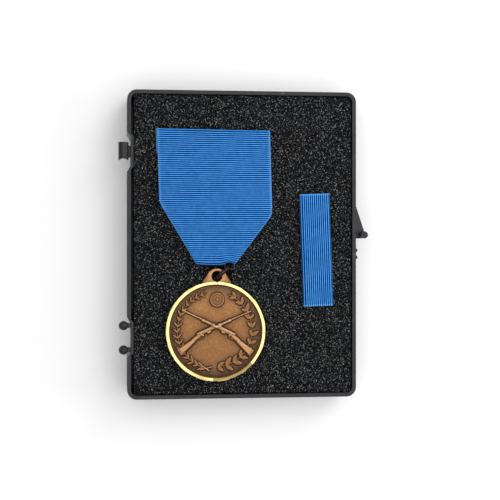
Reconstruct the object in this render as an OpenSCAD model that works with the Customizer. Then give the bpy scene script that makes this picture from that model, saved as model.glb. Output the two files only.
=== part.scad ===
// Service medal with its ribbon bar, held in one moulded half of a presentation case.
// Millimetres. Origin at the centre of the tray's underside. +X is the latch side, +Y the end
// where the ribbon starts, +Z up, out of the open tray.

/* [Case tray] */
// Width over the side walls
case_w = 71.4; // [68:0.1:76]
// Length over the end walls
case_l = 95.25; // [92:0.25:100]
// Depth of the tray, from the table to its rim
case_h = 14.5; // [14:0.5:18]
// Outer corner radius
case_r = 3; // [2:0.5:5]
// Wall thickness
wall = 1.2; // [1:0.1:1.6]
// Floor thickness
floor_t = 1.5; // [1:0.1:2]
// Distance of the foam's face below the rim
foam_drop = 0.5; // [0.2:0.1:1]

/* [Case hinge and latch] */
// Distance from the middle of the tray to the middle of each hinge
hinge_y = 28.6; // [26:0.1:32]
// Distance of the hinge axis outside the side wall
hinge_out = 1.15; // [1:0.05:1.4]
// Radius of the hinge barrel
barrel_r = 1.55; // [1.4:0.05:1.7]
// Length of the hinge barrel
barrel_l = 5.5; // [5:0.1:6]
// Radius of the hinge balls
ball_r = 1.45; // [1.3:0.05:1.5]
// Distance between the centres of the two balls
ball_gap = 7.46; // [7.2:0.02:7.8]
// Distance of the latch peg outside the side wall
peg_out = 2; // [1.8:0.1:2.4]
// Radius of the latch peg
peg_r = 1.1; // [0.9:0.05:1.3]
// Height of the latch peg above the rim
peg_up = 3.2; // [2:0.1:4]

/* [Ribbon] */
// Width of the woven ribbon
ribbon_w = 34.9; // [34:0.1:36]
// Length of the hanging drape, top fold to bottom fold
drape_l = 41.6; // [40:0.1:44]
// Width of the bottom fold
fold_w = 12.6; // [12:0.1:14]
// Thickness of one layer of ribbon
cloth_t = 0.5; // [0.4:0.05:0.6]

/* [Medal] */
// Diameter of the medal
medal_d = 30.9; // [30:0.1:33]
// Thickness of the medal at its rim
medal_t = 2.6; // [2.4:0.1:3]
// Width of the bright rim
rim_w = 1.3; // [1.2:0.05:1.6]
// How far the medal is turned on its ring at rest, in degrees
medal_turn = -1.2; // [-2:0.2:0]
// Outer diameter of the jump ring
ring_d = 7.1; // [6.8:0.1:7.2]
// Wire diameter of the jump ring
ring_wire = 1.3; // [1:0.05:1.4]
// Direction in which the ring stands, in degrees from +X
ring_turn = 42; // [40:1:44]

/* [Ribbon bar] */
// Width of the ribbon bar
bar_w = 9.5; // [9.3:0.1:9.8]
// How far the bar is turned in its pocket, in degrees
bar_turn = 2.1; // [0:0.1:3]
// Distance between its two posts
post_gap = 22; // [20:0.5:24]

/* [Hidden] */
$fn = 64;

black = [0.13, 0.13, 0.14];
charcoal = [0.17, 0.18, 0.19];
blue = [0.16, 0.41, 0.72];
bronze = [0.55, 0.37, 0.22];
dark_bronze = [0.2, 0.14, 0.12];
gold = [0.93, 0.83, 0.45];
brass = [0.76, 0.62, 0.33];
nickel = [0.72, 0.71, 0.68];

foam_top = case_h - foam_drop;
gap = 0.1;                      // clearance between pieces that only touch
rest_z = foam_top + gap;        // what lies loose on the foam starts here
hinge_x = -case_w / 2 - hinge_out;
notch_depth = 1.1;
notch_mouth = 12.6;
notch_root = 8.7;
notch_skin = 0.85;              // wall left behind a notch
foam_left = -case_w / 2 + notch_depth + notch_skin + 0.05;

drape_x = -9.2;                // middle of the ribbon's top fold
drape_top = 35.4;
drape_bottom = drape_top - drape_l;
drape_lean = 0.7;               // the ribbon hangs this far off square
fold_x = drape_x + drape_lean;
front_z = foam_top + 1.9;       // back face of the front layer
slab_z = foam_top + 0.2;        // underside of the folded drape
bend_z = foam_top - 0.2;        // underside of the brooch channel
leg_t = 0.8;
back_leg_t = 0.7;
channel_w = ribbon_w - 1.3;
channel_h = 7.8;
channel_y = drape_top - cloth_t - gap - channel_h;
slab_top = channel_y - 0.15;    // the folded drape ends just under the brooch channel

pin_z = foam_top - 2.2;
pin_r = 0.45;
pin_hinge_x = drape_x - 13.6;
pin_catch_x = drape_x + 13;
pin_y = channel_y + channel_h / 2;
rivet_r = 0.38;

medal_x = -8.55;
medal_y = -26.7;
medal_r = medal_d / 2;
lug_z = foam_top + 0.3;
lug_t = 1.4;
lug_hole_y = 16.9;
lug_hole_r = 1.6;
field_z = foam_top + medal_t - 0.7;
relief_up = 0.45;

hook_z = lug_z + lug_t / 2;     // the ring, the eye and the lug share this height
ring_c = ring_d / 2 - ring_wire / 2;
ring_x = -6.43;
ring_y = -8.49;
hanger_r = 0.35;
hanger_y = drape_bottom + 1.2;
eye_bar_y = -7.55;
eye_left = -5.6;
eye_right = -2.8;

bar_x = 22.95;
bar_y = -1.7;
bar_t = 1.9;
tuck_w = 2.4;
plate_t = 0.9;
plate_z = rest_z + cloth_t;
post_r = 0.55;
post_l = 6.8;
clutch_top = foam_top - 0.3;
clutch_h = 3.6;
cap_r = 2.9;
jaw_w = 1.7;
jaw_l = 7.6;

// ---- outlines ----

module rounded_rect(w, l, r) {
    square([w - 2 * r, l], center = true);
    square([w, l - 2 * r], center = true);
    for (x = [-1, 1], y = [-1, 1])
        translate([x * (w / 2 - r), y * (l / 2 - r)]) circle(r);
}

// A trapezoid sunk into the left wall: its depth, and its half lengths at the face and the root.
module notch(depth, mouth, root) {
    polygon([[-1, -mouth / 2], [0, -mouth / 2], [depth, -root / 2],
             [depth, root / 2], [0, mouth / 2], [-1, mouth / 2]]);
}

module tray_outline(inset, extra) {
    difference() {
        rounded_rect(case_w - 2 * inset, case_l - 2 * inset, case_r - inset);
        for (side = [-1, 1])
            translate([-case_w / 2, side * hinge_y])
                notch(notch_depth + extra, notch_mouth + extra, notch_root + extra);
    }
}

// The drape's front: square shoulders, sides that run in to the bottom fold.
module drape_outline(top) {
    half = ribbon_w / 2;
    polygon([
        [drape_x - half, top], [drape_x + half, top],
        [fold_x + half, 9.6], [fold_x + half - 0.7, 8.2],
        [fold_x + fold_w / 2, drape_bottom + 0.5], [fold_x + fold_w / 2 - 0.7, drape_bottom],
        [fold_x - fold_w / 2 + 0.7, drape_bottom], [fold_x - fold_w / 2, drape_bottom + 0.6],
        [fold_x - half + 0.9, 11.4], [fold_x - half, 13.4]
    ]);
}

// A leaf as long and as wide as asked, pointed at both ends, growing from the origin along +X.
module leaf(length, width) {
    radius = (length * length / 4 + width * width / 4) / width;
    translate([length / 2, 0]) intersection() {
        translate([0, radius - width / 2]) circle(radius);
        translate([0, -radius + width / 2]) circle(radius);
    }
}

// A long arm with its muzzle towards +X and its stock dropping towards -X and -Y.
module rifle_outline() {
    polygon([
        [11.8, 0.2], [10.9, 0.2], [10.8, 0.5], [10.5, 0.5], [10.4, 0.2], [4.9, 0.25],
        [4.6, 0.48], [-4.2, 0.5], [-6.4, 0.55], [-7.2, 0], [-8.2, -0.7], [-13.7, -1.9],
        [-13.1, -4], [-7.9, -2], [-7.5, -1.5], [-6.6, -1.45], [-6, -0.8], [-4.2, -0.75],
        [4.5, -0.5], [4.8, -0.25], [11.8, -0.2]
    ]);
}

// ---- case ----

module hinge_barrel() {
    translate([hinge_x, hinge_y, case_h]) difference() {
        rotate([90, 0, 0]) cylinder(r = barrel_r, h = barrel_l, center = true);
        translate([0, -ball_gap / 2, -3]) cylinder(r = ball_r + 0.15, h = 6);
        translate([0, ball_gap / 2, 0]) rotate(180) sphere(ball_r + 0.05);
    }
    translate([hinge_x - 0.7, hinge_y - 1.8, case_h - 3.4])
        cube([-case_w / 2 + notch_depth + 0.4 - hinge_x + 0.7, 3.6, 2.4]);
}

module hinge_ball(y) {
    translate([hinge_x, y, case_h]) rotate(180) sphere(ball_r);
    translate([hinge_x + 0.6, y - 0.7, case_h - 2])
        cube([-case_w / 2 + notch_depth - 0.2 - hinge_x, 1.4, 1.6]);
}

module latch() {
    edge = case_w / 2;
    translate([0, 0, case_h - 2.4]) linear_extrude(1.8)
        polygon([[edge - 0.4, 13.2], [edge, 12.4], [edge + peg_out + 0.95, 3.5],
                 [edge + peg_out, 1.9], [edge - 0.4, 1.9]]);
    translate([edge + peg_out, 3, case_h - 4]) cylinder(r = peg_r, h = 4 + peg_up);
    difference() {
        translate([edge - 0.4, -4.5, case_h - 5]) cube([0.9, 3.2, 4.7]);
        translate([edge + 0.75, -2.9, case_h - 6]) cylinder(r = 0.75, h = 7);
    }
}

module case_tray() {
    color(black) {
        difference() {
            linear_extrude(case_h) tray_outline(0, 0);
            translate([0, 0, floor_t]) linear_extrude(case_h) tray_outline(wall, notch_skin);
        }
        hinge_barrel();
        for (side = [-1, 1]) hinge_ball(-hinge_y + side * ball_gap / 2);
        latch();
    }
}

module foam_pad() {
    right = case_w / 2 - wall - gap;
    length = case_l - 2 * wall - 2 * gap;
    width = right - foam_left;
    color(charcoal) difference() {
        translate([foam_left + width / 2, 0, floor_t])
            linear_extrude(foam_top - floor_t) rounded_rect(width, length, 1.6);
        // under the brooch, down to the floor
        translate([drape_x - channel_w / 2 - 0.3, channel_y - 0.3, 0])
            cube([channel_w + 0.6, channel_h + 0.5, case_h]);
        // under the ribbon bar, down to the floor
        translate([bar_x, bar_y, 0]) rotate(bar_turn)
            translate([-bar_w / 2 + 0.8, -ribbon_w / 2 + 1, 0])
                cube([bar_w - 1.6, ribbon_w - 2, case_h]);
        // under the jump ring and the medal's lug, so that both can tip up
        translate([medal_x - 3, ring_y - 3.6, foam_top - 3.6]) cube([8.4, 6.6, 5]);
    }
}

// ---- medal ribbon and brooch ----

module hanger_room() {
    translate([fold_x - fold_w / 2 - 1, hanger_y - hanger_r - 0.05, hook_z - hanger_r - 0.05])
        cube([fold_w + 2, 2 * hanger_r + 0.1, 2 * hanger_r + 0.1]);
    translate([eye_left - 0.6, drape_bottom - 1, slab_z - 1])
        cube([eye_right - eye_left + 1.2, 1.7 + hanger_r, 5]);
}

module ribbon_drape() {
    color(blue) difference() {
        union() {
            translate([0, 0, front_z]) linear_extrude(cloth_t) drape_outline(drape_top);
            translate([0, 0, slab_z])
                linear_extrude(front_z - slab_z + 0.1) drape_outline(slab_top);
            translate([drape_x - ribbon_w / 2, drape_top - cloth_t, foam_top + 0.5])
                cube([ribbon_w, cloth_t, front_z + cloth_t - foam_top - 0.5]);
            translate([drape_x - ribbon_w / 2, channel_y + back_leg_t + gap, foam_top + 0.55])
                cube([ribbon_w, channel_h, cloth_t]);
        }
        hanger_room();
    }
}

module brooch_channel() {
    color(brass) translate([drape_x - channel_w / 2, channel_y, 0]) {
        translate([0, 0, foam_top + 1.1]) cube([channel_w, channel_h, leg_t]);
        translate([0, 0, bend_z]) cube([channel_w, back_leg_t, front_z - bend_z]);
        translate([0, 0, bend_z]) cube([channel_w, channel_h - 0.4, back_leg_t]);
    }
}

module wire(a, b, r) {
    turn = b - a;
    translate(a) rotate([0, 90, atan2(turn[1], turn[0])]) cylinder(r = r, h = norm(turn));
}

module ribbon_hanger() {
    start = fold_x - fold_w / 2 + 0.5;
    points = [[start, hanger_y, hook_z], [eye_left, hanger_y, hook_z],
              [eye_left, eye_bar_y, hook_z], [eye_right, eye_bar_y, hook_z],
              [eye_right, hanger_y, hook_z]];
    color(dark_bronze) {
        for (i = [0 : 3]) wire(points[i], points[i + 1], hanger_r);
        for (p = points) translate(p) sphere(hanger_r);
    }
}

module pin_ears() {
    color(brass) difference() {
        union() {
            for (side = [-1, 1])
                translate([pin_hinge_x, pin_y + side * 0.95, pin_z]) {
                    rotate([90, 0, 0]) cylinder(r = 1.1, h = 0.7, center = true);
                    translate([-1.1, -0.35, 0]) cube([2.2, 0.7, bend_z - pin_z]);
                }
            translate([pin_hinge_x - 1.1, pin_y - 1.3, bend_z - 0.5]) cube([2.2, 2.6, 0.5]);
        }
        translate([pin_hinge_x, pin_y, pin_z])
            rotate([90, 0, 0]) cylinder(r = rivet_r, h = 4, center = true);
    }
}

module pin_rivet() {
    color(nickel) translate([pin_hinge_x, pin_y, pin_z]) rotate([90, 0, 0]) {
        cylinder(r = rivet_r, h = 3, center = true);
        for (side = [-1, 1]) translate([0, 0, side * 1.5]) cylinder(r = 0.62, h = 0.4, center = true);
    }
}

module pin_catch() {
    color(brass) {
        for (side = [-1, 1]) translate([pin_catch_x - 0.9, pin_y + side * 0.8 - 0.25, pin_z - 0.7])
            cube([1.8, 0.5, bend_z - pin_z + 0.7]);
        translate([pin_catch_x - 0.9, pin_y - 1.05, bend_z - 0.5]) cube([1.8, 2.1, 0.5]);
    }
}

module brooch_pin() {
    reach = pin_catch_x - pin_hinge_x + 0.6;
    color(nickel) translate([pin_hinge_x, pin_y, pin_z]) difference() {
        union() {
            rotate([90, 0, 0]) cylinder(r = 0.95, h = 1, center = true);
            rotate([0, 90, 0]) cylinder(r = pin_r, h = reach);
            translate([reach, 0, 0]) rotate([0, 90, 0]) cylinder(r1 = pin_r, r2 = 0.08, h = 2);
        }
        rotate([90, 0, 0]) cylinder(r = rivet_r + 0.04, h = 2, center = true);
    }
}

// ---- medal ----

module jump_ring() {
    color(dark_bronze) translate([ring_x, ring_y, hook_z]) rotate([0, 0, ring_turn])
        rotate([90, 0, 0]) rotate_extrude() translate([ring_c, 0]) circle(ring_wire / 2);
}

module lug_outline() {
    difference() {
        union() {
            translate([0, lug_hole_y - 0.5]) circle(3);
            polygon([[-4.5, 14.6], [4.5, 14.6], [4.4, 15.3], [2.75, lug_hole_y + 0.7],
                     [-2.75, lug_hole_y + 0.7], [-4.4, 15.3]]);
        }
        translate([0, lug_hole_y]) circle(lug_hole_r);
    }
}

module wreath_outline(side) {
    stem_r = 11.6;
    intersection() {
        difference() {
            circle(stem_r + 0.2);
            circle(stem_r - 0.2);
        }
        polygon([[0, 0], [side * 2, -20], [side * 20, -12], [side * 20, 12], [side * 12, 18]]);
    }
    for (i = [0 : 9]) rotate(-90 + side * (14 + 14 * i)) translate([stem_r, 0]) {
        rotate(side * 52) leaf(side > 0 ? 3 : 2.6, side > 0 ? 1.5 : 0.9);
        rotate(side * 128) leaf(side > 0 ? 3 : 2.6, side > 0 ? 1.5 : 0.9);
    }
}

module target_outline() {
    translate([0, 9.7]) {
        difference() {
            circle(2.2);
            circle(1.8);
        }
        difference() {
            circle(1.2);
            circle(0.85);
        }
        circle(0.35);
    }
}

module relief_outline() {
    translate([0.1, 1.5]) {
        rotate(24) rifle_outline();
        mirror([1, 0]) rotate(24) rifle_outline();
    }
    target_outline();
    intersection() {
        for (side = [-1, 1]) wreath_outline(side);
        circle(medal_r - rim_w - 0.25);
    }
}

module at_medal() {
    translate([medal_x, medal_y, 0]) rotate(medal_turn) children();
}

module medal_disc() {
    color(bronze) at_medal() {
        translate([0, 0, rest_z]) cylinder(r = medal_r, h = lug_z + lug_t - rest_z);
        translate([0, 0, rest_z]) cylinder(r = medal_r - rim_w, h = field_z - rest_z);
        translate([0, 0, field_z - 0.1]) linear_extrude(relief_up + 0.1) relief_outline();
        translate([0, 0, lug_z]) linear_extrude(lug_t) lug_outline();
    }
}

module bright_rim() {
    low = lug_z + lug_t;
    high = foam_top + medal_t;
    color(gold) at_medal() rotate_extrude()
        polygon([[medal_r - rim_w, low], [medal_r, low], [medal_r, high - 0.55],
                 [medal_r - 0.25, high - 0.4], [medal_r - rim_w, high]]);
}

// ---- ribbon bar ----

module at_bar() {
    translate([bar_x, bar_y, 0]) rotate(bar_turn) children();
}

module bar_ribbon() {
    color(blue) at_bar() difference() {
        translate([-bar_w / 2, -ribbon_w / 2, rest_z]) cube([bar_w, ribbon_w, bar_t]);
        translate([-bar_w / 2 + cloth_t, -ribbon_w / 2 - 1, plate_z])
            cube([bar_w - 2 * cloth_t, ribbon_w + 2, plate_t]);
        translate([-bar_w / 2 + tuck_w, -ribbon_w / 2 - 1, foam_top - 1])
            cube([bar_w - 2 * tuck_w, ribbon_w + 2, plate_z - foam_top + 1.2]);
    }
}

module bar_plate() {
    color(brass) at_bar() translate([-bar_w / 2 + cloth_t, -ribbon_w / 2 + 0.3, plate_z])
        cube([bar_w - 2 * cloth_t, ribbon_w - 0.6, plate_t]);
}

module bar_posts() {
    color(nickel) at_bar() for (side = [-1, 1]) translate([0, side * post_gap / 2, 0]) {
        translate([0, 0, plate_z - 0.35]) cylinder(r = 1.4, h = 0.35);
        translate([0, 0, plate_z - post_l + 0.8]) cylinder(r = post_r, h = post_l - 0.8);
        translate([0, 0, plate_z - post_l]) cylinder(r1 = 0.1, r2 = post_r, h = 0.8);
    }
}

module clutch_cap(side) {
    color(brass) at_bar() translate([0, side * post_gap / 2, clutch_top - clutch_h]) difference() {
        union() {
            cylinder(r = cap_r, h = 0.5);
            cylinder(r = cap_r - 0.5, h = clutch_h);
        }
        translate([0, 0, 0.9]) cylinder(r = cap_r - 0.9, h = clutch_h - 1.5);
        translate([0, 0, -1]) cylinder(r = post_r + 0.06, h = clutch_h + 2);
        translate([-jaw_w / 2 - 0.05, -cap_r, 0.95]) cube([jaw_w + 0.1, 2 * cap_r, 1.2]);
    }
}

module clutch_jaws(side) {
    color(nickel) at_bar() translate([0, side * post_gap / 2, clutch_top - clutch_h + 1])
        for (end = [-1, 1]) mirror([0, end < 0 ? 1 : 0, 0]) difference() {
            translate([-jaw_w / 2, 0.12, 0]) cube([jaw_w, jaw_l / 2 - 0.12, 1.05]);
            translate([0, 0, -1]) cylinder(r = post_r + 0.05, h = 3);
        }
}

case_tray();
foam_pad();
ribbon_drape();
brooch_channel();
ribbon_hanger();
pin_ears();
pin_rivet();
pin_catch();
brooch_pin();
jump_ring();
medal_disc();
bright_rim();
bar_ribbon();
bar_plate();
bar_posts();
clutch_cap(1);  // upper_clutch_cap
clutch_jaws(1);  // upper_clutch_jaws
clutch_cap(-1);  // lower_clutch_cap
clutch_jaws(-1);  // lower_clutch_jaws
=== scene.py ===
"""Looks for the boxed medal: foam, ribbons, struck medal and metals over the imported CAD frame.

Working units are millimetres in the row frame; mesh() turns them into metres.
"""

import math

import bpy
import numpy as np
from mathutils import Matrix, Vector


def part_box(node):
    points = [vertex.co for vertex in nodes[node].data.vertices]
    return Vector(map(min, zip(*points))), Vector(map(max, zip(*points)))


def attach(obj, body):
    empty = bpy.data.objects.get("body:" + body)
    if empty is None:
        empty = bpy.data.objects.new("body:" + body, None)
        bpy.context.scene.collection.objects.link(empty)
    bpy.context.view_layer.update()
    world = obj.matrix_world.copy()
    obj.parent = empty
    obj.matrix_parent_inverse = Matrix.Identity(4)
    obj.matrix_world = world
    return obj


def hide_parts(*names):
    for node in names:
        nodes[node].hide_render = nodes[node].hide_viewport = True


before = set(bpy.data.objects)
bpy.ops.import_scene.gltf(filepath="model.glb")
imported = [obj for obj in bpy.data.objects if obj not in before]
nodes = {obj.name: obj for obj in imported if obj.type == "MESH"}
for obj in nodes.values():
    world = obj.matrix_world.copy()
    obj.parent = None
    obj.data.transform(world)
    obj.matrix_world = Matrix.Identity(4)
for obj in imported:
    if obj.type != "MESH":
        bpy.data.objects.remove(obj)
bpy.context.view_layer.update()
MM = 0.001


# ---- places, read from the CAD frame ----


def box_mm(name):
    """A CAD node's lowest and highest corners, in millimetres."""
    low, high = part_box(name)
    return np.array(low) / MM, np.array(high) / MM


foam_low, foam_high = box_mm("foam_pad")
rim_low, rim_high = box_mm("bright_rim")
drape_low, drape_high = box_mm("ribbon_drape")
channel_low, channel_high = box_mm("brooch_channel")
plate_low, plate_high = box_mm("bar_plate")
ribbon_low, ribbon_high = box_mm("bar_ribbon")
ring_low, ring_high = box_mm("jump_ring")
disc_low, disc_high = box_mm("medal_disc")

FOAM_TOP = foam_high[2]
RIBBON_W = 34.9
RIB = 0.64
MEDAL = (rim_low + rim_high) / 2
MEDAL_R = (rim_high[0] - rim_low[0]) / 2
MEDAL_TOP = rim_high[2]
MEDAL_TURN = math.radians(-1.2)
RIM_W = 1.3
LUG_HOLE = 16.9
RING_WIRE = 1.3
RING_TURN = math.radians(42)
BAR = (ribbon_low + ribbon_high) / 2
BAR_TURN = math.radians(2.1)
BAR_W = 9.5


# ---- mesh making ----


def mesh(name, points, faces, smooth=True):
    """A mesh object from points in millimetres."""
    data = bpy.data.meshes.new(name)
    data.from_pydata((np.asarray(points, float) * MM).tolist(), [], [list(map(int, f)) for f in faces])
    data.validate()
    data.polygons.foreach_set("use_smooth", [smooth] * len(data.polygons))
    data.update()
    piece = bpy.data.objects.new(name, data)
    bpy.context.scene.collection.objects.link(piece)
    return piece


def grid_faces(rows, columns, wrap=False, start=0):
    """Quads over rows x columns points; wrap closes each row into a loop."""
    last = columns if wrap else columns - 1
    r, c = np.meshgrid(np.arange(rows - 1), np.arange(last), indexing="ij")
    a = start + r * columns + c
    b = start + r * columns + (c + 1) % columns
    return np.stack([a, b, b + columns, a + columns], -1).reshape(-1, 4)


def block(points, low):
    """A grid of rows x columns points closed by straight sides and an underside at low.

    Gives the points, the faces and how many points were added after the grid's own.
    """
    rows, columns = points.shape[:2]
    face = points.reshape(-1, 3)
    index = np.arange(rows * columns).reshape(rows, columns)
    loop = np.concatenate([index[0], index[1:, -1], index[-1, -2::-1], index[-2:0:-1, 0]])
    base = face[loop].copy()
    base[:, 2] = low
    middle = (face.min(0) + face.max(0)) / 2
    middle[2] = low
    count, start = len(loop), len(face)
    ring = np.arange(count)
    after = (ring + 1) % count
    sides = np.stack([loop[after], loop[ring], start + ring, start + after], -1)
    under = np.stack([start + after, start + ring, np.full(count, start + count)], -1)
    faces = grid_faces(rows, columns).tolist() + sides.tolist() + under.tolist()
    return np.concatenate([face, base, [middle]]), faces, count + 1


def paint(piece, name, values):
    """A number for each vertex that a material can read."""
    layer = piece.data.attributes.new(name, "FLOAT", "POINT")
    layer.data.foreach_set("value", np.asarray(values, np.float32).ravel())


def turned(points, centre, angle):
    """Points turned about +Z round their own origin and moved to centre."""
    points = np.array(points, float)
    c, s = math.cos(angle), math.sin(angle)
    x = points[..., 0] * c - points[..., 1] * s + centre[0]
    y = points[..., 0] * s + points[..., 1] * c + centre[1]
    return np.stack([x, y, points[..., 2]], -1)


def lattice(x, y, cell, seed):
    """Smooth value noise from -1 to 1 over the plane, with lumps about one cell across."""
    table = np.random.default_rng(seed).uniform(-1, 1, (256, 256))
    u, v = np.asarray(x) / cell, np.asarray(y) / cell
    i, j = np.floor(u).astype(int), np.floor(v).astype(int)
    fu, fv = u - i, v - j
    fu, fv = fu * fu * (3 - 2 * fu), fv * fv * (3 - 2 * fv)
    a, b = table[i % 256, j % 256], table[(i + 1) % 256, j % 256]
    c, d = table[i % 256, (j + 1) % 256], table[(i + 1) % 256, (j + 1) % 256]
    return (a * (1 - fu) + b * fu) * (1 - fv) + (c * (1 - fu) + d * fu) * fv


def plate(name, loops, z, thick, bevel):
    """A flat plate with rounded edges; the first loop is the outline and the rest are holes."""
    curve = bpy.data.curves.new(name, "CURVE")
    curve.dimensions = "2D"
    curve.fill_mode = "BOTH"
    curve.extrude = (thick / 2 - bevel) * MM
    curve.bevel_depth = bevel * MM
    curve.bevel_resolution = 3
    curve.offset = -bevel * MM
    for loop in loops:
        spline = curve.splines.new("POLY")
        spline.points.add(len(loop) - 1)
        for point, (x, y) in zip(spline.points, loop):
            point.co = (x * MM, y * MM, 0, 1)
        spline.use_cyclic_u = True
    holder = bpy.data.objects.new(name + "_curve", curve)
    bpy.context.scene.collection.objects.link(holder)
    bpy.context.view_layer.update()
    data = bpy.data.meshes.new_from_object(holder)
    bpy.data.objects.remove(holder)
    data.name = name
    for vertex in data.vertices:
        vertex.co.z += (z + thick / 2) * MM
    piece = bpy.data.objects.new(name, data)
    bpy.context.scene.collection.objects.link(piece)
    return piece


# ---- materials ----


class Look:
    """A node material: the shader and short ways to feed it."""

    def __init__(self, name, roughness, metallic=0.0):
        self.material = bpy.data.materials.new(name)
        self.material.use_nodes = True
        self.tree = self.material.node_tree
        self.shader = self.tree.nodes["Principled BSDF"]
        self.shader.inputs["Roughness"].default_value = roughness
        self.shader.inputs["Metallic"].default_value = metallic

    def node(self, kind, **settings):
        made = self.tree.nodes.new(kind)
        for key, value in settings.items():
            setattr(made, key, value)
        return made

    def link(self, source, target):
        self.tree.links.new(source, target)

    def place(self):
        return self.node("ShaderNodeTexCoord").outputs["Object"]

    def noise(self, scale, detail=3.0, stretch=(1, 1, 1), roughness=0.5):
        """Noise over the object, with scale in lumps per metre."""
        mapping = self.node("ShaderNodeMapping")
        mapping.inputs["Scale"].default_value = stretch
        self.link(self.place(), mapping.inputs["Vector"])
        noise = self.node("ShaderNodeTexNoise")
        noise.inputs["Scale"].default_value = scale
        noise.inputs["Detail"].default_value = detail
        noise.inputs["Roughness"].default_value = roughness
        self.link(mapping.outputs["Vector"], noise.inputs["Vector"])
        return noise.outputs["Fac"]

    def cells(self, scale):
        """A random number for each small cell of the surface."""
        voronoi = self.node("ShaderNodeTexVoronoi")
        voronoi.inputs["Scale"].default_value = scale
        self.link(self.place(), voronoi.inputs["Vector"])
        split = self.node("ShaderNodeSeparateColor")
        self.link(voronoi.outputs["Color"], split.inputs["Color"])
        return split.outputs["Red"]

    def attribute(self, name):
        return self.node("ShaderNodeAttribute", attribute_name=name).outputs["Fac"]

    def ramp(self, source, *stops):
        """Colours or greys along source; each stop is (place, colour)."""
        ramp = self.node("ShaderNodeValToRGB")
        elements = ramp.color_ramp.elements
        while len(elements) < len(stops):
            elements.new(0.5)
        for element, (place, colour) in zip(elements, stops):
            element.position = place
            shade = (colour,) * 3 if isinstance(colour, (int, float)) else colour
            element.color = (*shade, 1)
        self.link(source, ramp.inputs["Fac"])
        return ramp.outputs["Color"]

    def mix(self, a, b, amount, blend="MIX"):
        """b over a; amount is a number or a socket, and so are the colours."""
        mix = self.node("ShaderNodeMix", data_type="RGBA", blend_type=blend)
        for value, socket in ((amount, mix.inputs[0]), (a, mix.inputs[6]), (b, mix.inputs[7])):
            if isinstance(value, bpy.types.NodeSocket):
                self.link(value, socket)
            elif isinstance(value, (int, float)):
                socket.default_value = value
            else:
                socket.default_value = (*value, 1)
        return mix.outputs[2]

    def colour(self, source):
        self.link(source, self.shader.inputs["Base Color"])

    def roughness(self, source, low, high):
        self.link(self.ramp(source, (0.3, low), (0.7, high)), self.shader.inputs["Roughness"])

    def bump(self, height, depth, rounded=None):
        """Bump of that depth in millimetres, with edges rounded to a radius if asked."""
        bump = self.node("ShaderNodeBump")
        bump.inputs["Distance"].default_value = depth * MM
        self.link(height, bump.inputs["Height"])
        if rounded:
            bevel = self.node("ShaderNodeBevel", samples=6)
            bevel.inputs["Radius"].default_value = rounded * MM
            self.link(bevel.outputs["Normal"], bump.inputs["Normal"])
        self.link(bump.outputs["Normal"], self.shader.inputs["Normal"])


def black_plastic():
    look = Look("black_plastic", 0.32)
    look.shader.inputs["Specular IOR Level"].default_value = 0.34
    tone = look.ramp(look.noise(90, 5), (0.3, (0.006, 0.006, 0.0075)), (0.75, (0.014, 0.0145, 0.018)))
    scuff = look.ramp(look.noise(700, 6, (1, 0.25, 1), 0.7), (0.62, 0.0), (0.74, 1.0))
    look.colour(look.mix(tone, (0.075, 0.075, 0.085), scuff))
    look.roughness(look.noise(260, 5), 0.24, 0.42)
    look.bump(look.noise(2600, 3), 0.03, rounded=0.28)
    return look.material


def charcoal_foam():
    look = Look("charcoal_foam", 0.8)
    look.shader.inputs["Specular IOR Level"].default_value = 0.05
    # Painted shade: the foam's hollows are painted darker than its crowns, and the pockets darkest.
    hollow, crown = (0.0005, 0.0006, 0.0008), (0.003, 0.0033, 0.0038)
    deep = look.ramp(look.attribute("height"), (0.2, hollow), (0.85, crown))
    # Painted glints: sparse light specks, and finer dimmer ones, where the cell walls catch the light.
    specks = look.ramp(look.cells(4700), (0.9, 0.0), (1.0, 1.0))
    fine = look.ramp(look.cells(7200), (0.8, 0.0), (1.0, 1.0))
    tint = look.ramp(look.noise(1400, 2), (0.35, (0.24, 0.26, 0.28)), (0.65, (0.32, 0.305, 0.285)))
    shade = look.mix(deep, tint, specks)
    look.colour(look.mix(shade, (0.062, 0.066, 0.07), fine))
    look.roughness(look.cells(3400), 0.5, 0.95)
    look.bump(look.noise(5200, 3, roughness=0.7), 0.12)
    return look.material


def blue_ribbon():
    look = Look("blue_ribbon", 0.6)
    look.shader.inputs["Specular IOR Level"].default_value = 0.03
    # Painted shade and highlight: the rib valleys are painted dark blue and the crests bright blue.
    rib = look.ramp(
        look.attribute("height"),
        (0.3, (0.0003, 0.013, 0.09)),
        (0.68, (0.0008, 0.09, 0.365)),
        (0.97, (0.11, 0.435, 0.97)),
    )
    warp = look.ramp(look.noise(2400, 4, (1, 0.35, 1), 0.65), (0.3, (0.8, 0.83, 0.87)), (0.72, (1, 1, 1)))
    wide = look.ramp(look.noise(90, 2), (0.3, (0.97, 0.98, 0.985)), (0.75, (1, 1, 1)))
    cloth = look.mix(look.mix(rib, warp, 1.0, "MULTIPLY"), wide, 1.0, "MULTIPLY")
    look.colour(look.mix(cloth, (0.14, 0.42, 0.9), look.attribute("selvedge")))
    look.roughness(look.noise(900, 3), 0.5, 0.72)
    look.bump(look.noise(4200, 3, (1, 0.4, 1)), 0.05)
    return look.material


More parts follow.
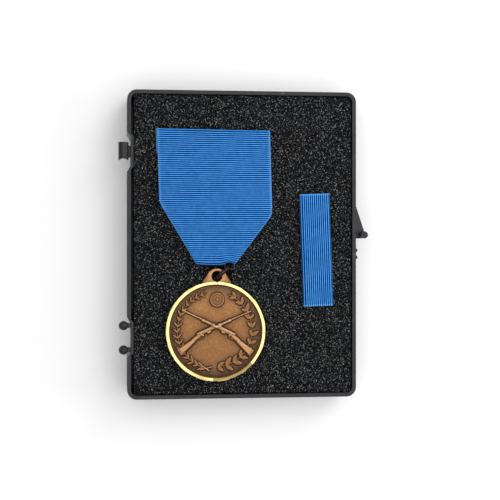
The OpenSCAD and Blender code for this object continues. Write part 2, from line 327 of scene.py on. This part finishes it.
def antique_bronze():
    look = Look("antique_bronze", 0.4, metallic=1.0)
    # The attribute holds patina and wear together with painted light: painted highlight on the relief's
    # edges and round the lug's hole, painted shade round the relief's foot.
    wear_and_painted_light = look.attribute("wear_and_painted_light")
    tone = look.ramp(
        wear_and_painted_light,
        (0.05, (0.035, 0.019, 0.011)),
        (0.32, (0.14, 0.085, 0.055)),
        (0.55, (0.262, 0.128, 0.051)),
        (0.7, (0.39, 0.21, 0.095)),
        (0.95, (0.56, 0.36, 0.225)),
    )
    cloud = look.ramp(look.noise(3000, 4, roughness=0.7), (0.3, (0.8, 0.74, 0.68)), (0.7, (1, 1, 1)))
    look.colour(look.mix(tone, cloud, 1.0, "MULTIPLY"))
    look.roughness(wear_and_painted_light, 0.6, 0.38)
    look.bump(look.noise(5200, 4, roughness=0.65), 0.02)
    return look.material


def metal(name, low, high, rough_low, rough_high, grain=600, rounded=0.1, depth=0.008):
    """A plain metal whose colour and polish wander a little over its surface."""
    look = Look(name, rough_low, metallic=1.0)
    look.colour(look.ramp(look.noise(grain, 5), (0.3, low), (0.72, high)))
    look.roughness(look.noise(grain * 1.7, 4), rough_low, rough_high)
    look.bump(look.noise(grain * 5, 3), depth, rounded=rounded)
    return look.material


def pale_floor():
    look = Look("pale_floor", 0.8)
    look.colour(look.ramp(look.noise(3, 2), (0.3, (0.93, 0.93, 0.93)), (0.7, (0.96, 0.96, 0.96))))
    return look.material


PLASTIC = black_plastic()
FOAM = charcoal_foam()
RIBBON = blue_ribbon()
BRONZE = antique_bronze()
GOLD = metal("bright_gold", (0.8, 0.6, 0.22), (0.9, 0.7, 0.3), 0.14, 0.2, 900, None, 0.002)
DARK_BRONZE = metal("dark_bronze", (0.018, 0.012, 0.01), (0.075, 0.052, 0.042), 0.2, 0.34, 1500)
BRASS = metal("brooch_brass", (0.45, 0.31, 0.12), (0.66, 0.48, 0.22), 0.28, 0.45)
CLUTCH = metal("clutch_brass", (0.6, 0.43, 0.18), (0.78, 0.6, 0.3), 0.16, 0.3)
NICKEL = metal("nickel_wire", (0.42, 0.41, 0.39), (0.66, 0.65, 0.62), 0.2, 0.36, 900)


def finish(piece, material, body, slot, *replaced):
    """Gives a piece its material and its body, and hides the CAD nodes it stands for; slot is not used."""
    piece.data.materials.clear()
    piece.data.materials.append(material)
    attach(piece, body)
    if replaced:
        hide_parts(*replaced)
    return piece


def dress(name, material):
    """A CAD node that is shown as it is, in a better material."""
    nodes[name].data.materials.clear()
    nodes[name].data.materials.append(material)


# ---- foam ----

PITCH = 0.3


def inside(x, y, low, high):
    return (x > low[0]) & (x < high[0]) & (y > low[1]) & (y < high[1])


def foam_height(x, y):
    """The foam's face: coarse swells, torn cells and grains; foam_block pulls its edges down."""
    grain = 0.5 * lattice(x, y, 0.55, 1) + 0.32 * lattice(x + 9, y, 0.31, 2)
    grain += 0.3 * lattice(x, y + 5, 1.1, 3)
    pits = -np.clip(lattice(x, y, 0.8, 4) - 0.55, 0, 1) * 0.9
    swell = 0.10 * lattice(x, y, 9, 5)
    return FOAM_TOP - 0.16 + 0.2 * (grain + pits) + swell, grain + pits


def foam_block():
    """The pad: a torn-cell face over plain sides, with pockets under the brooch, ring and bar."""
    x = np.arange(foam_low[0], foam_high[0] + PITCH, PITCH)
    y = np.arange(foam_low[1], foam_high[1] + PITCH, PITCH)
    x, y = np.clip(x, None, foam_high[0]), np.clip(y, None, foam_high[1])
    gx, gy = np.meshgrid(x, y)
    z, grain = foam_height(gx, gy)
    edge = np.minimum.reduce([gx - foam_low[0], foam_high[0] - gx, gy - foam_low[1], foam_high[1] - gy])
    z = z - 0.25 * np.clip(1 - edge / 0.5, 0, 1) ** 2
    pocket = inside(gx, gy, channel_low - 0.3, channel_high + 0.3)
    across, along = bar_frame(gx, gy)
    pocket |= (np.abs(across) < BAR_W / 2 - 0.8) & (np.abs(along) < RIBBON_W / 2 - 1)
    z = np.where(pocket, foam_low[2] + 0.4, z)
    under = inside(gx, gy, ring_low - 0.5, ring_high + (0.1, 0.5, 0))
    z = np.where(under, np.minimum(z, ring_low[2] - 0.2), z)
    lug_top = MEDAL[1] + LUG_HOLE + 1.2
    dent = np.clip(1.5 - ((gx - MEDAL[0]) / 3.4) ** 2 - ((gy - lug_top) / 2.2) ** 2, 0, 1)
    z = z - 1.0 * dent * ~pocket * ~under
    points, faces, extra = block(np.stack([gx, gy, z], -1), foam_low[2])
    piece = mesh("foam_block", points, faces)
    # The pockets get the lowest value, painted darkest as shade under the brooch and the bar.
    height = np.where(pocket, 0.1, (grain + 1) / 2)
    paint(piece, "height", np.concatenate([height.ravel(), np.full(extra, 0.3)]))
    finish(piece, FOAM, "case", "foam", "foam_pad")


def bar_frame(x, y):
    """Distances across and along the ribbon bar from its middle."""
    dx, dy = x - BAR[0], y - BAR[1]
    c, s = math.cos(BAR_TURN), math.sin(BAR_TURN)
    return dx * c + dy * s, -dx * s + dy * c


# ---- ribbon ----


def arc(centre, radius, start, end, step=0.1):
    """Points on an arc in a plane, in degrees."""
    count = max(3, int(abs(math.radians(end - start)) * radius / step))
    turn = np.radians(np.linspace(start, end, count))
    return np.stack([centre[0] + radius * np.cos(turn), centre[1] + radius * np.sin(turn)], -1)


def even(path, step):
    """The same path with points a step apart, and how far along it each one is."""
    path = np.asarray(path, float)
    lengths = np.concatenate([[0], np.cumsum(np.linalg.norm(np.diff(path, axis=0), axis=1))])
    at = np.linspace(0, lengths[-1], int(lengths[-1] / step) + 1)
    return np.stack([np.interp(at, lengths, path[:, k]) for k in range(2)], -1), at


def ribbed_cloth(name, path, span, place, thick, roll=None, columns=44, step=RIB / 6, wave=0.05):
    """A closed sheet along a path, with ribs across it.

    path is in (run, z); span(run) gives the low and high ends of each row; place(run, across, z)
    gives the points; roll(run) says how far each row's ends turn down, for an edge that is a fold.
    """
    line, at = even(path, step)
    ahead = np.gradient(line, axis=0)
    ahead /= np.linalg.norm(ahead, axis=1)[:, None]
    normal = np.stack([-ahead[:, 1], ahead[:, 0]], -1)
    low, high = span(line[:, 0])
    steps = np.linspace(0, 1, columns)
    share = 0.6 * steps + 0.2 * (1 - np.cos(np.pi * steps))
    across = low[:, None] + (high - low)[:, None] * share[None, :]
    down = at[:, None] + 0 * across
    rib = np.abs(np.cos(np.pi * (down + wave * lattice(across, down, 7, 11)) / RIB))
    rib = rib * (0.96 + 0.04 * lattice(across, down, 0.9, 12))
    bow = 0.05 * lattice(across, down, 6, 13)
    reach = across - (low + high)[:, None] / 2
    reach = reach / np.abs(reach).max(1)[:, None]
    across = across + 0.06 * (rib - 0.5) * np.sign(reach) * (np.abs(reach) > 0.995)
    sides = []
    for side in (1, -1):
        off = side * (thick / 2 - 0.11 * (1 - rib)) + bow
        run = line[:, 0:1] + normal[:, 0:1] * off
        z = line[:, 1:2] + normal[:, 1:2] * off
        if roll is not None:
            edge = np.minimum(across - low[:, None], high[:, None] - across)
            depth = roll(line[:, 0])[:, None]
            z = z - depth * (1 - np.sqrt(1 - np.clip(1 - edge / 0.8, 0, 1) ** 2))
        sides.append(place(run, across, z))
    top, under = sides
    ring = np.concatenate([top, under[:, ::-1]], 1)
    rows, around = ring.shape[:2]
    faces = grid_faces(rows, around, wrap=True).tolist()
    for row, flip in ((0, True), (rows - 1, False)):
        for c in range(columns - 1):
            a = row * around
            quad = [a + c, a + c + 1, a + around - 2 - c, a + around - 1 - c]
            faces.append(quad if flip else quad[::-1])
    piece = mesh(name, ring.reshape(-1, 3), faces)
    # The rib height, which the ribbon's colour turns into painted shade in the valleys and painted highlight
    # on the crests.
    paint(piece, "height", np.concatenate([rib, rib[:, ::-1]], 1))
    # A lighter colour along the selvedge, strongest on the rib crests, where it follows the painted
    # highlight.
    brim = (0.3 + 0.35 * rib) * np.clip((np.abs(reach) - 0.965) / 0.02, 0, 1)
    paint(piece, "selvedge", np.concatenate([brim, brim[:, ::-1]], 1))
    return piece


DRAPE_X = (drape_low[0] + drape_high[0]) / 2
FOLD_W = 12.6
CLOTH = 0.44
FRONT_Z = drape_high[2] - 0.25
BACK_Z = drape_low[2] + 0.25
FLAP_Z = FOAM_TOP + 0.8
FLAP_SHIFT = 0.35
BOTTOM_SAG = 0.3
TOP_SLOPE = 0.011
RING_BITE = 0.8
LEAN = 0.7
TOP_X = drape_low[0] + RIBBON_W / 2
FOLD_X = TOP_X + LEAN


def drape_span(y):
    """Left and right edges of the drape: square shoulders, then sides that run in to the fold."""
    half, fold = RIBBON_W / 2, FOLD_W / 2
    top, bottom = drape_high[1], drape_low[1]
    left_y = [bottom, bottom + 0.6, 11.4, 13.4, top]
    left_x = [FOLD_X - fold + 0.6, FOLD_X - fold, FOLD_X - half + 0.9, FOLD_X - half, TOP_X - half]
    right_y = [bottom, bottom + 0.5, 8.2, 9.6, top]
    right_x = [FOLD_X + fold - 0.6, FOLD_X + fold, FOLD_X + half - 0.7, FOLD_X + half, TOP_X + half]
    return np.interp(y, left_y, left_x), np.interp(y, right_y, right_x)


def drape_place(y, x, z):
    """The top flap sits a little to the left; the bottom fold sags, and gives way to the ring."""
    y, x, z = y + 0 * x, x + 0 * y, z + 0 * x
    up = y - drape_low[1]
    behind = np.clip((FRONT_Z - z) / (FRONT_Z - FLAP_Z), 0, 1) * (y > channel_low[1])
    sag = np.clip(1 - ((x - FOLD_X) / (FOLD_W / 2)) ** 2, 0, 1) * np.clip(1 - up / 3, 0, 1)
    slope = (x - TOP_X) * np.clip((y - 5) / (drape_high[1] - 5), 0, 1)
    beside = np.exp(-(((x - ring_high[0] + 0.85) / 1.3) ** 2)) * np.clip(1 - up / 4, 0, 1)
    y = y - BOTTOM_SAG * sag - TOP_SLOPE * slope + RING_BITE * beside
    return np.stack([x - FLAP_SHIFT * behind, y, z], -1)


def drape_roll(y):
    """The edge is a fold below the shoulders, and a flat selvedge above them."""
    return np.where(y < 11, 0.55, 0.08)


def ribbon_drape():
    """One length of ribbon, folded over the brooch at the top and round the hanger below."""
    top, bottom = drape_high[1] - 0.25, drape_low[1] + 0.25
    fold_r = (FRONT_Z - BACK_Z) / 2
    top_r = (FRONT_Z - FLAP_Z) / 2
    front = np.concatenate([
        [[channel_low[1] + 1.0, FLAP_Z]],
        arc((top - top_r, FLAP_Z + top_r), top_r, -90, 90),
        arc((bottom + fold_r, BACK_Z + fold_r), fold_r, 90, 270),
        [[bottom + fold_r + 1.5, BACK_Z]],
    ])
    piece = ribbed_cloth("ribbon_front", front, drape_span, drape_place, CLOTH, drape_roll, columns=50)
    finish(piece, RIBBON, "drape", "ribbon_cloth", "ribbon_drape")
    back = [[bottom + fold_r + 1.6, BACK_Z], [channel_low[1] - 0.3, BACK_Z]]

    def back_span(y):
        low, high = drape_span(y)
        return low + 0.2, high - 0.2

    piece = ribbed_cloth("ribbon_back", back, back_span, drape_place, CLOTH, columns=36, step=RIB / 5)
    finish(piece, RIBBON, "drape", "ribbon_cloth", "ribbon_drape")
    for side in (-1, 1):
        folded_corner(side, (FRONT_Z + BACK_Z) / 2)


def folded_corner(side, z):
    """The corner turned in behind the front: cloth doubled between the two faces."""

    def span(y):
        low, high = drape_span(y)
        middle = (low + high) / 2
        if side < 0:
            return low + 0.15, np.minimum(low + 9, middle - 0.3)
        return np.maximum(high - 9, middle + 0.3), high - 0.15

    path = [[drape_low[1] + 3.2, z], [channel_low[1] - 0.5, z]]
    name = "ribbon_corner_left" if side < 0 else "ribbon_corner_right"
    piece = ribbed_cloth(name, path, span, drape_place, 0.85, columns=18, step=RIB / 4)
    finish(piece, RIBBON, "drape", "ribbon_cloth", "ribbon_drape")


def ribbon_bar():
    """Ribbon wrapped round the bar, its ribs along the bar."""
    low, high = plate_low[2], plate_high[2]
    half = BAR_W / 2 - 0.25
    bottom, top = low - 0.25, high + 0.25
    radius = (top - bottom) / 2
    path = np.concatenate([
        [[-half + 2.2, bottom]],
        arc((-half + radius, bottom + radius), radius, 270, 90),
        [[0, top + 0.06]],
        arc((half - radius, bottom + radius), radius, 90, -90),
        [[half - 2.2, bottom]],
    ])

    def span(run):
        return np.full(len(run), -RIBBON_W / 2), np.full(len(run), RIBBON_W / 2)

    def place(run, along, z):
        points = np.stack([run + 0 * along, along + 0 * run, z + 0 * along], -1)
        return turned(points, BAR, BAR_TURN)

    piece = ribbed_cloth("bar_ribbon_wrap", path, span, place, CLOTH, columns=70)
    finish(piece, RIBBON, "bar", "ribbon_cloth", "bar_ribbon")


# ---- medal ----

FIELD_R = MEDAL_R - RIM_W
FIELD_Z = MEDAL_TOP - 0.72


def rod(x, y, start, end, r_start, r_end, height):
    """A round bar, as the height it adds over the field."""
    a, b = np.array(start, float), np.array(end, float)
    along = b - a
    t = np.clip(((x - a[0]) * along[0] + (y - a[1]) * along[1]) / (along @ along), 0, 1)
    gap = np.hypot(x - a[0] - t * along[0], y - a[1] - t * along[1])
    radius = r_start + (r_end - r_start) * t
    return height * np.clip(1 - (gap / radius) ** 2, 0, 1) ** 0.4


def slab(x, y, corners, height, bevel):
    """A flat-topped shape with rounded shoulders."""
    corners = np.array(corners, float)
    gap = np.full(np.shape(x), 1e9)
    within = np.zeros(np.shape(x), bool)
    for a, b in zip(corners, np.roll(corners, -1, 0)):
        along = b - a
        t = np.clip(((x - a[0]) * along[0] + (y - a[1]) * along[1]) / (along @ along), 0, 1)
        gap = np.minimum(gap, np.hypot(x - a[0] - t * along[0], y - a[1] - t * along[1]))
        crosses = (a[1] > y) != (b[1] > y)
        rise = b[1] - a[1] if abs(b[1] - a[1]) > 1e-9 else 1e-9
        within ^= crosses & (x < a[0] + (y - a[1]) / rise * along[0])
    lift = np.clip(gap / bevel, 0, 1)
    return np.where(within, height * np.sqrt(1 - (1 - lift) ** 2), 0)


def leaf(x, y, root, angle, length, width, height):
    """A leaf growing from root, with a midrib."""
    c, s = math.cos(angle), math.sin(angle)
    u = ((x - root[0]) * c + (y - root[1]) * s) / length
    v = (-(x - root[0]) * s + (y - root[1]) * c) / (width / 2)
    body = np.clip(u, 0, 1) ** 0.6 * np.clip(1 - u, 0, 1) ** 0.8 * 2.3
    body = np.clip(1 - (v / np.maximum(body, 1e-3)) ** 2, 0, 1)
    dished = 0.62 + 0.38 * (1 - body) + 0.3 * np.exp(-((v / 0.16) ** 2))
    return height * body ** 0.3 * dished * (u > 0) * (u < 1)


def rifle(x, y):
    """A long arm lying on the field, muzzle towards +X."""
    parts = [
        rod(x, y, (2.5, 0.12), (11.7, 0.1), 0.36, 0.23, 0.44),
        rod(x, y, (11.0, 0.12), (11.5, 0.12), 0.32, 0.32, 0.46),
        rod(x, y, (10.7, 0.35), (10.7, 0.72), 0.16, 0.12, 0.4),
        rod(x, y, (-4.6, -0.15), (4.7, -0.02), 0.6, 0.42, 0.5),
        rod(x, y, (4.3, 0), (4.5, 0), 0.56, 0.56, 0.6),
        rod(x, y, (1.0, 0), (1.2, 0), 0.66, 0.66, 0.64),
        rod(x, y, (-6.2, 0.22), (-1.4, 0.3), 0.36, 0.36, 0.6),
        rod(x, y, (-1.2, 0.55), (-0.6, 0.8), 0.2, 0.16, 0.5),
        rod(x, y, (-5.4, 0.25), (-4.9, -0.95), 0.17, 0.2, 0.7),
        rod(x, y, (-4.9, -1.0), (-4.88, -1.02), 0.3, 0.3, 0.72),
        rod(x, y, (-5.2, -0.35), (-8.0, -1.15), 0.66, 0.74, 0.5),
        slab(x, y, [(-3.5, -0.5), (-1.9, -0.5), (-2.1, -1.15), (-3.4, -1.2)], 0.45, 0.25),
        slab(x, y, [(-7.3, -0.4), (-13.7, -1.75), (-13.1, -4.05), (-7.7, -1.95)], 0.55, 0.6),
        rod(x, y, (-13.7, -1.85), (-13.15, -3.95), 0.16, 0.16, 0.5),
        rod(x, y, (-4.5, -0.8), (-4.9, -1.45), 0.13, 0.13, 0.34),
        rod(x, y, (-4.9, -1.45), (-6.1, -1.55), 0.13, 0.13, 0.34),
        rod(x, y, (-6.1, -1.55), (-6.6, -1.1), 0.13, 0.13, 0.34),
    ]
    return np.maximum.reduce(parts)


def branch(x, y, side, stem_r, first, last, count, length, width, spread, seed):
    """Leaves in uneven pairs up one side of the field, from first to last degrees round from the foot."""
    vary = np.random.default_rng(seed)
    height = np.zeros(np.shape(x))
    step = math.radians((last - first) / (count - 1))
    for k in range(count):
        share = k / (count - 1)
        turn = math.radians(-90) + side * (math.radians(first) + step * k)
        radius = stem_r[0] + (stem_r[1] - stem_r[0]) * share ** 2
        root = (radius * math.cos(turn), radius * math.sin(turn))
        ahead = turn + side * math.pi / 2
        for way in (-1, 1):
            size = (1 - 0.25 * share) * vary.uniform(0.78, 1.1)
            angle = ahead + way * math.radians(spread * vary.uniform(0.7, 1.3))
            height = np.maximum(height, leaf(x, y, root, angle, length * size, width * size, 0.34))
        end = (radius * math.cos(turn + side * step), radius * math.sin(turn + side * step))
        height = np.maximum(height, rod(x, y, root, end, 0.15, 0.13, 0.26))
    return height


def ring_of(x, y, centre, radius, half, height):
    """A raised circle line."""
    gap = np.abs(np.hypot(x - centre[0], y - centre[1]) - radius)
    return height * np.sqrt(np.clip(1 - (gap / half) ** 2, 0, 1))


def on_rifle(x, y, mirror):
    """Plane coordinates of the crossed arms: each is turned about where they cross."""
    u, v = (x - 0.1) * mirror, y - 1.5
    c, s = math.cos(math.radians(24)), math.sin(math.radians(24))
    return u * c + v * s, -u * s + v * c


def front_relief(x, y):
    """Height of the struck front over its field."""
    under = rifle(*on_rifle(x, y, 1))
    over = rifle(*on_rifle(x, y, -1))
    arms = np.maximum(under, np.where(over > 0, over + 0.28 * (under > 0), 0))
    left = branch(x, y, -1, (11.8, 12.1), 18, 156, 17, 2.3, 0.85, 40, 31)
    right = branch(x, y, 1, (11.0, 11.9), 4, 150, 12, 2.9, 1.7, 38, 32)
    crest = (0.2, 9.7)
    disc = 0.14 * np.clip((2.25 - np.hypot(x - crest[0], y - crest[1])) / 0.15, 0, 1)
    crest_lines = np.maximum.reduce([
        disc,
        ring_of(x, y, crest, 2.02, 0.18, 0.32),
        ring_of(x, y, crest, 1.15, 0.14, 0.28),
        rod(x, y, crest, (crest[0] + 0.01, crest[1]), 0.42, 0.42, 0.36),
    ])
    stalks = np.maximum(
        rod(x, y, (-4.4, -11.9), (-1.0, -11.0), 0.2, 0.24, 0.4),
        rod(x, y, (-1.9, -12.2), (-3.6, -10.9), 0.24, 0.2, 0.44),
    )
    work = np.maximum.reduce([arms, left, right, crest_lines, stalks])
    radius = np.hypot(x, y)
    dish = -0.10 * np.clip((radius - 12.9) / 1.0, 0, 1) ** 2
    hammer = 0.012 * lattice(x, y, 0.5, 21) + 0.02 * lattice(x, y, 2.2, 22)
    return 0.8 * work + dish + hammer


def back_relief(x, y):
    """The plain reverse: a border line, a wreath and an empty tablet."""
    left = branch(x, y, -1, (10.4, 10.4), 8, 150, 12, 2.6, 1.2, 36, 33)
    right = branch(x, y, 1, (10.4, 10.4), 8, 150, 12, 2.6, 1.2, 36, 34)
    tablet = slab(x, y, [(-5.6, -2.2), (5.6, -2.2), (5.6, 2.2), (-5.6, 2.2)], 0.3, 0.35)
    border = ring_of(x, y, (0, 0), 14.1, 0.4, 0.4)
    return np.maximum.reduce([left, right, tablet, border]) + 0.015 * lattice(x, y, 0.6, 23)


def soften(values, passes):
    """A cheap blur on a grid, for finding hollows and high spots."""
    for _ in range(passes):
        values = (values + np.roll(values, 1, 0) + np.roll(values, -1, 0)) / 3
        values = (values + np.roll(values, 1, 1) + np.roll(values, -1, 1)) / 3
    return values


def struck_face(name, relief, radius, count, z, down, facing):
    """A closed round blank whose face carries the relief; facing is 1 for up and -1 for down."""
    line = np.linspace(-1, 1, count)
    u, v = np.meshgrid(line, line)
    x, y = radius * u * np.sqrt(1 - v * v / 2), radius * v * np.sqrt(1 - u * u / 2)
    height = relief(x, y)
    smooth = soften(height, 2)
    raised = np.clip((soften(height, 1) - 0.04) / 0.06, 0, 1)
    brink = np.clip((np.hypot(x, y) - radius + 1.1) / 1.0, 0, 1)
    crowd = np.clip(2.1 * soften(np.maximum(raised, brink), 150), 0, 1)
    close = np.clip(1.6 * soften(raised, 12), 0, 1)
    # Convexity of the relief: painted highlight on its edges and painted shade in its concave folds.
    crisp = smooth - soften(smooth, 10)
    border = np.clip((np.hypot(x, y) - radius + 3.4) / 3.4, 0, 1) ** 1.4
    # The field: patina darker near the relief and towards the rim, and a little lighter towards the top.
    field = 0.565 + 0.004 * y - 0.19 * crowd - 0.14 * close - 0.15 * border + 0.015 * lattice(x, y, 1.3, 24)
    field += 0.05 * lattice(x, y, 0.32, 25)
    # A dark line round the foot of the relief: patina in the crease, deepened into painted shade.
    field -= 0.45 * np.clip(3 * soften(raised, 3), 0, 1)
    # Raised parts: lighter with height where rubbed, plus the painted edge highlight from the convexity.
    raised_wear_and_highlight = 0.36 + 0.75 * smooth + 2.2 * crisp
    wear_and_painted_light = field * (1 - raised) + raised_wear_and_highlight * raised
    points, faces, extra = block(np.stack([x * facing, y, z + facing * smooth], -1), z - facing * down)
    piece = mesh(name, turned(points, MEDAL, MEDAL_TURN), faces)
    paint(piece, "wear_and_painted_light", np.concatenate([np.clip(wear_and_painted_light, 0, 1).ravel(), np.full(extra, 0.3)]))
    return piece


def lathe(name, profile, count=160):
    """A turned part about the medal's middle from (radius, z) points that close on themselves."""
    profile = np.array(profile, float)
    turn = np.linspace(0, 2 * np.pi, count, endpoint=False)
    r, z = profile[:, 0], profile[:, 1]
    points = np.stack([
        r[None] * np.cos(turn)[:, None], r[None] * np.sin(turn)[:, None], z[None] + 0 * turn[:, None]
    ], -1).reshape(-1, 3)
    faces = []
    size = len(profile)
    for i in range(count):
        j = (i + 1) % count
        for k in range(size):
            m = (k + 1) % size
            faces.append([i * size + k, j * size + k, j * size + m, i * size + m])
    return mesh(name, turned(points, MEDAL, MEDAL_TURN), faces)


def lug_loops():
    """The lug's outline, foot on the disc and rounded over its hole, and the hole."""
    top = arc((0, LUG_HOLE - 0.75), 3.25, 22, 158, 0.2)
    outline = [(4.5, 14.7), (4.45, 15.25), *top.tolist(), (-4.45, 15.25), (-4.5, 14.7)]
    hole = arc((0, LUG_HOLE), 1.5, 0, 350, 0.2).tolist()
    return [outline, hole]


def medal():
    face = struck_face("medal_face", front_relief, FIELD_R, 262, FIELD_Z, 0.5, 1)
    finish(face, BRONZE, "medal", "medal_bronze", "medal_disc")
    low = disc_low[2]
    reverse = struck_face("medal_reverse", back_relief, MEDAL_R - 0.9, 150, low + 0.45, 0.4, -1)
    finish(reverse, BRONZE, "medal", "medal_bronze", "medal_disc")
    body = lathe("medal_edge", [
        (MEDAL_R - 1.6, low + 0.3), (MEDAL_R - 0.9, low + 0.02), (MEDAL_R - 0.25, low), (MEDAL_R, low + 0.2),
        (MEDAL_R, rim_low[2] - 0.02), (MEDAL_R - 2.2, rim_low[2] - 0.02), (MEDAL_R - 2.2, low + 0.3),
    ])
    paint(body, "wear_and_painted_light", np.full(len(body.data.vertices), 0.55))
    finish(body, BRONZE, "medal", "medal_bronze", "medal_disc")
    lug = plate("medal_lug", lug_loops(), FOAM_TOP + 0.3, 1.4, 0.35)
    for vertex in lug.data.vertices:
        spot = turned([vertex.co[0] / MM, vertex.co[1] / MM, 0], MEDAL, MEDAL_TURN)
        vertex.co.x, vertex.co.y = spot[0] * MM, spot[1] * MM
    for polygon in lug.data.polygons:
        polygon.use_smooth = False
    spots = np.array([vertex.co[:] for vertex in lug.data.vertices]) / MM
    rise = (spots[:, 1] - MEDAL[1] - MEDAL_R) / 4
    hole = turned([0, LUG_HOLE, 0], MEDAL, MEDAL_TURN)
    near = np.hypot(spots[:, 0] - hole[0], spots[:, 1] - hole[1]) < 2.0
    # Darker towards the lug's foot and lighter towards its top, with a painted highlight round the hole.
    paint(lug, "wear_and_painted_light", np.where(near, 0.74, 0.5 + 0.28 * rise))
    finish(lug, BRONZE, "medal", "medal_bronze", "medal_disc")


FLATS = 14
FLAT_DROPS = {0: 0.12, 1: 0.27, 2: 0.27, 5: 0.03, 8: 0.13, 9: 0.11}
NOTCH = 0.42


def bright_rim():
    """The rim as cut: flats side by side round the top, each at its own slant, over a fine bevel."""
    per_flat = 12
    half = math.pi / FLATS
    slants = np.random.default_rng(3).uniform(-1, 1, (FLATS, 2))
    start = math.radians(-90 - 28)
    inner, outer = FIELD_R, MEDAL_R
    base, top = rim_low[2], MEDAL_TOP
    points, faces = [], []
    for flat in range(FLATS):
        lean, twist = slants[flat]
        steep = FLAT_DROPS.get(flat, 0)
        first = len(points)
        for k in range(per_flat + 1):
            off = (2 * k / per_flat - 1) * half
            turn = start + (2 * flat + 1) * half + off
            ridge = outer - 0.12 - 0.12 * (1 - (off / half) ** 2)
            drop = 0.05 + steep + 0.02 * lean + 0.03 * twist * off / half
            cut = NOTCH if abs(turn - math.pi / 2) < half / per_flat else 0
            loop = [
                (inner - 0.02, base), (inner, top - 0.45), (inner + 0.3, top - 0.03),
                (ridge - cut, top - drop), (outer - cut, top - drop - 0.24), (outer - cut, base),
            ]
            points += [(r * math.cos(turn), r * math.sin(turn), z) for r, z in loop]
        for k in range(per_flat):
            for m in range(6):
                n = (m + 1) % 6
                a, b = first + 6 * k, first + 6 * (k + 1)
                faces.append([a + m, a + n, b + n, b + m])
    piece = mesh("cut_rim", turned(points, MEDAL, MEDAL_TURN), faces, smooth=False)
    finish(piece, GOLD, "medal", "rim_gold", "bright_rim")


def jump_ring():
    """Round wire bent to a ring, its ends butted together."""
    centre = (ring_low + ring_high) / 2
    wire = RING_WIRE / 2
    radius = (ring_high[2] - ring_low[2]) / 2 - wire
    turns, sides = 96, 20
    gap = math.radians(1.2)
    big = np.linspace(gap, 2 * math.pi - gap, turns) + math.radians(205)
    small = np.linspace(0, 2 * math.pi, sides, endpoint=False)
    reach = radius + wire * np.cos(small)[None, :]
    along, up = reach * np.cos(big)[:, None], reach * np.sin(big)[:, None]
    side = wire * np.sin(small)[None, :] + 0 * along
    points = np.stack([along, side, up + centre[2]], -1)
    points = turned(points, centre, RING_TURN).reshape(-1, 3)
    faces = grid_faces(turns, sides, wrap=True).tolist()
    faces += [list(range(sides)), list(range(turns * sides - 1, (turns - 1) * sides - 1, -1))]
    piece = mesh("jump_ring_wire", points, faces)
    finish(piece, DARK_BRONZE, "ring", "dark_bronze", "jump_ring")


# ---- stage, light and camera ----

FLOOR = 900
EYE_LEFT = 0.039
EYE_UP = 0.3478


def area_light(name, spot, aim, size, power, tint=(1, 1, 1)):
    data = bpy.data.lights.new(name, "AREA")
    data.shape = "RECTANGLE"
    data.size, data.size_y = size
    data.energy = power
    data.color = tint
    light = bpy.data.objects.new(name, data)
    bpy.context.scene.collection.objects.link(light)
    light.location = spot
    light.rotation_euler = (Vector(aim) - light.location).to_track_quat("-Z", "Y").to_euler()


def studio():
    corners = [(x * FLOOR, y * FLOOR, -0.05) for x, y in ((-1, -1), (1, -1), (1, 1), (-1, 1))]
    floor = mesh("floor", corners, [[0, 1, 2, 3]])
    floor.data.materials.append(pale_floor())
    world = bpy.data.worlds.new("studio")
    world.use_nodes = True
    world.node_tree.nodes["Background"].inputs["Color"].default_value = (1, 1, 1, 1)
    world.node_tree.nodes["Background"].inputs["Strength"].default_value = 0.55
    bpy.context.scene.world = world
    area_light("overhead", (0.03, 0.02, 0.56), (0.03, 0.02, 0), (0.6, 0.6), 1.7)
    area_light("key", (0.3, 0.34, 0.42), (0, 0, 0.01), (0.3, 0.3), 0.8)
    area_light("side", (0.5, 0.0, 0.18), (0, 0, 0.01), (0.2, 0.4), 0.75)
    bpy.context.scene.view_settings.view_transform = "Standard"


def camera():
    """Straight down on the open case from a little to its left."""
    data = bpy.data.cameras.new("camera")
    data.lens = 81.15
    data.sensor_width = 36.0
    data.shift_x = 0.0146
    data.shift_y = -0.011
    data.clip_start = 0.01
    eye = bpy.data.objects.new("camera", data)
    bpy.context.scene.collection.objects.link(eye)
    eye.location = (-EYE_LEFT, 0, FOAM_TOP * MM + EYE_UP)
    eye.rotation_euler = (0, -math.atan2(EYE_LEFT, EYE_UP), 0)
    bpy.context.scene.camera = eye


for name in ("pin_ears", "pin_catch", "brooch_channel", "bar_plate"):
    dress(name, BRASS)
for name in ("pin_rivet", "brooch_pin", "bar_posts", "upper_clutch_jaws", "lower_clutch_jaws"):
    dress(name, NICKEL)
for name in ("upper_clutch_cap", "lower_clutch_cap"):
    dress(name, CLUTCH)
dress("ribbon_hanger", DARK_BRONZE)
dress("case_tray", PLASTIC)
foam_block()
ribbon_drape()
ribbon_bar()
medal()
bright_rim()
jump_ring()
studio()
camera()
